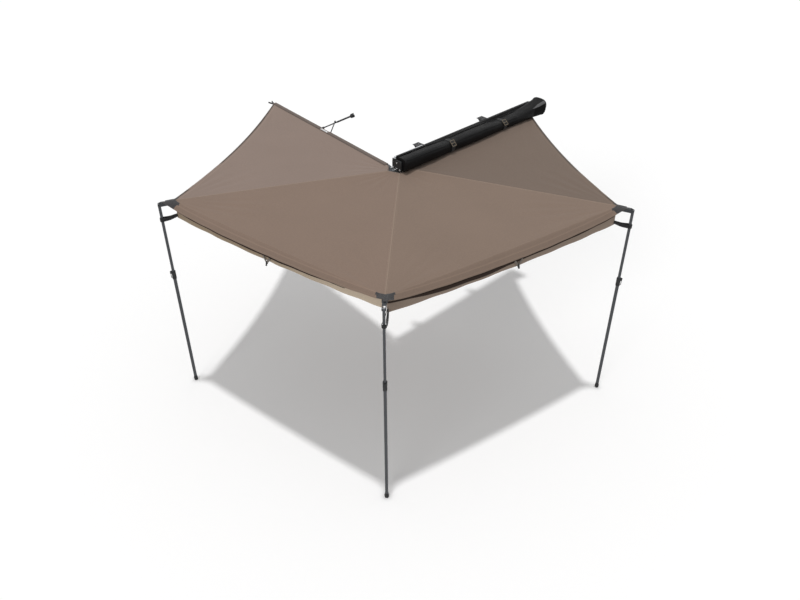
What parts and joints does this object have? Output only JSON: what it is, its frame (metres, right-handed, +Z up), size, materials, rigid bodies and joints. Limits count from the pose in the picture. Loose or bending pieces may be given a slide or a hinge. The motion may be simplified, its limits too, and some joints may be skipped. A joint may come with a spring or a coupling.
{
  "type": "vehicle side awning",
  "caption": "Fan-shaped side awning on a roof rail, with channel arms on a chain of hinges, fold-down telescopic poles, a fabric canopy with valances and a rolled cover bag.",
  "frame": {"origin": "centre of the rear crossbar bracket's flat top face, between its two slots", "axes": "+Z up, square to the bracket's face; +X forward along the rail; +Y towards the vehicle"},
  "size_m": [3.6052, 3.7888, 2.0522],
  "materials": {
    "canopy_cloth": "matt woven polyester, grey brown",
    "webbing": "dark grey webbing",
    "black_webbing": "black webbing",
    "cover_cloth": "black coated cloth, slightly shiny",
    "rail_aluminium": "silver anodised",
    "arm_aluminium": "grey anodised",
    "pole_aluminium": "dark grey anodised",
    "cast_metal": "dark grey powder coat on cast metal",
    "black_steel": "black powder coat",
    "bolt_steel": "zinc plated",
    "black_plastic": "black moulded nylon",
    "rubber": "dark grey rubber",
    "buckle_metal": "plated, warm silver"
  },
  "bodies": {
    "rail": {"rail": "rail_aluminium", "rail_end_cap_rear": "black_plastic", "rail_end_cap_front": "black_plastic", "hinge_bracket": "black_steel", "crossbar_bracket_rear": "black_steel", "crossbar_bracket_front": "black_steel", "bag_roll": "cover_cloth", "bag_cowl": "cover_cloth", "bag_strap_rear": "black_webbing", "bag_strap_front": "black_webbing", "bag_buckle_rear": "buckle_metal", "bag_buckle_front": "buckle_metal", "hinge_bolt_b": "bolt_steel", "canopy_ab": "canopy_cloth"},
    "arm_b": {"arm_knuckle_b": "cast_metal", "arm_channel_b": "arm_aluminium", "arm_tip_b": "cast_metal", "hinge_bolt_c": "bolt_steel", "canopy_bc": "canopy_cloth", "corner_patch_b": "webbing", "pole_strap_b": "black_webbing", "valance_bc": "canopy_cloth"},
    "arm_c": {"arm_knuckle_c": "cast_metal", "arm_channel_c": "arm_aluminium", "arm_tip_c": "cast_metal", "hinge_bolt_d": "bolt_steel", "canopy_cd": "canopy_cloth", "corner_patch_c": "webbing", "pole_strap_c": "black_webbing", "valance_cd": "canopy_cloth"},
    "arm_d": {"arm_knuckle_d": "cast_metal", "arm_channel_d": "arm_aluminium", "arm_tip_d": "cast_metal", "hinge_bolt_e": "bolt_steel", "canopy_de": "canopy_cloth", "corner_patch_d": "webbing", "pole_strap_d": "black_webbing"},
    "arm_e": {"arm_knuckle_e": "cast_metal", "arm_channel_e": "arm_aluminium", "arm_tip_e": "cast_metal", "brace_bracket": "cast_metal"},
    "pole_b": {"pole_upper_b": "pole_aluminium"},
    "lower_b": {"pole_lower_b": "pole_aluminium", "lock_collar_b": "black_plastic", "pole_foot_b": "rubber"},
    "lever_b": {"lock_lever_b": "black_plastic"},
    "pole_c": {"pole_upper_c": "pole_aluminium"},
    "lower_c": {"pole_lower_c": "pole_aluminium", "lock_collar_c": "black_plastic", "pole_foot_c": "rubber"},
    "lever_c": {"lock_lever_c": "black_plastic"},
    "pole_d": {"pole_upper_d": "pole_aluminium"},
    "lower_d": {"pole_lower_d": "pole_aluminium", "lock_collar_d": "black_plastic", "pole_foot_d": "rubber"},
    "lever_d": {"lock_lever_d": "black_plastic"},
    "brace": {"brace_rod": "pole_aluminium"},
    "brace_slider": {"brace_tube": "pole_aluminium", "brace_clamp": "black_plastic"},
    "strut": {"brace_strut": "pole_aluminium"}
  },
  "joints": [
    {"name": "fold_b", "type": "hinge", "parent": "rail", "child": "arm_b", "pos_m": [-0.263, -0.0763, -0.109], "axis": [0, 0, 1], "range_deg": [0, 65.3], "deforming": ["canopy_ab"]},
    {"name": "fold_c", "type": "hinge", "parent": "arm_b", "child": "arm_c", "pos_m": [-0.31206, -0.09886, -0.109], "axis": [0, 0, 1], "range_deg": [0, 71.5], "deforming": ["canopy_bc", "valance_bc", "corner_patch_b"]},
    {"name": "fold_d", "type": "hinge", "parent": "arm_c", "child": "arm_d", "pos_m": [-0.34902, -0.0595, -0.109], "axis": [0, 0, 1], "range_deg": [0, 70.1], "deforming": ["canopy_cd", "valance_cd", "corner_patch_c"]},
    {"name": "fold_e", "type": "hinge", "parent": "arm_d", "child": "arm_e", "pos_m": [-0.32459, -0.01134, -0.109], "axis": [0, 0, 1], "range_deg": [0, 67.1], "deforming": ["canopy_de", "corner_patch_d"]},
    {"name": "pole_swing_b", "type": "hinge", "parent": "arm_b", "child": "pole_b", "pos_m": [0.54265, -1.8279, -0.13], "axis": [0.9085, 0.4179, 0], "range_deg": [-15, 90], "deforming": ["pole_strap_b"]},
    {"name": "pole_slide_b", "type": "slide", "parent": "pole_b", "child": "lower_b", "axis": [0, 0, 1], "range_m": [0, 0.48]},
    {"name": "lever_b", "type": "hinge", "parent": "lower_b", "child": "lever_b", "pos_m": [0.5508, -1.84562, -0.769], "axis": [-0.9085, -0.4179, 0], "range_deg": [0, 100]},
    {"name": "pole_swing_c", "type": "hinge", "parent": "arm_c", "child": "pole_c", "pos_m": [-1.71751, -1.41867, -0.13], "axis": [0.6845, -0.729, 0], "range_deg": [-15, 90], "deforming": ["pole_strap_c"]},
    {"name": "pole_slide_c", "type": "slide", "parent": "pole_c", "child": "lower_c", "axis": [0, 0, 1], "range_m": [0, 0.48]},
    {"name": "lever_c", "type": "hinge", "parent": "lower_c", "child": "lever_c", "pos_m": [-1.73173, -1.43202, -0.769], "axis": [-0.6845, 0.729, 0], "range_deg": [0, 100]},
    {"name": "pole_swing_d", "type": "hinge", "parent": "arm_d", "child": "pole_d", "pos_m": [-2.06841, 0.81279, -0.13], "axis": [-0.4524, -0.8918, 0], "range_deg": [-15, 90], "deforming": ["pole_strap_d"]},
    {"name": "pole_slide_d", "type": "slide", "parent": "pole_d", "child": "lower_d", "axis": [0, 0, 1], "range_m": [0, 0.48]},
    {"name": "lever_d", "type": "hinge", "parent": "lower_d", "child": "lever_d", "pos_m": [-2.0858, 0.82162, -0.769], "axis": [0.4524, 0.8918, 0], "range_deg": [0, 100]},
    {"name": "brace_fold", "type": "hinge", "parent": "arm_e", "child": "brace", "pos_m": [-0.20472, 1.0579, -0.119], "axis": [0.4762, -0.0333, -0.8787], "range_deg": [0, 55.25]},
    {"name": "brace_slide", "type": "slide", "parent": "brace", "child": "brace_slider", "axis": [0.6805, -0.6189, 0.3922], "range_m": [0, 0.04]},
    {"name": "strut_fold", "type": "hinge", "parent": "brace", "child": "strut", "pos_m": [-0.12333, 0.97828, -0.05595], "axis": [0.4762, -0.0333, -0.8787], "range_deg": [-114.43, 0]}
  ],
  "couplings": [
    {"joint": "strut_fold", "follows": "brace_fold", "ratio": -2.0711}
  ]
}
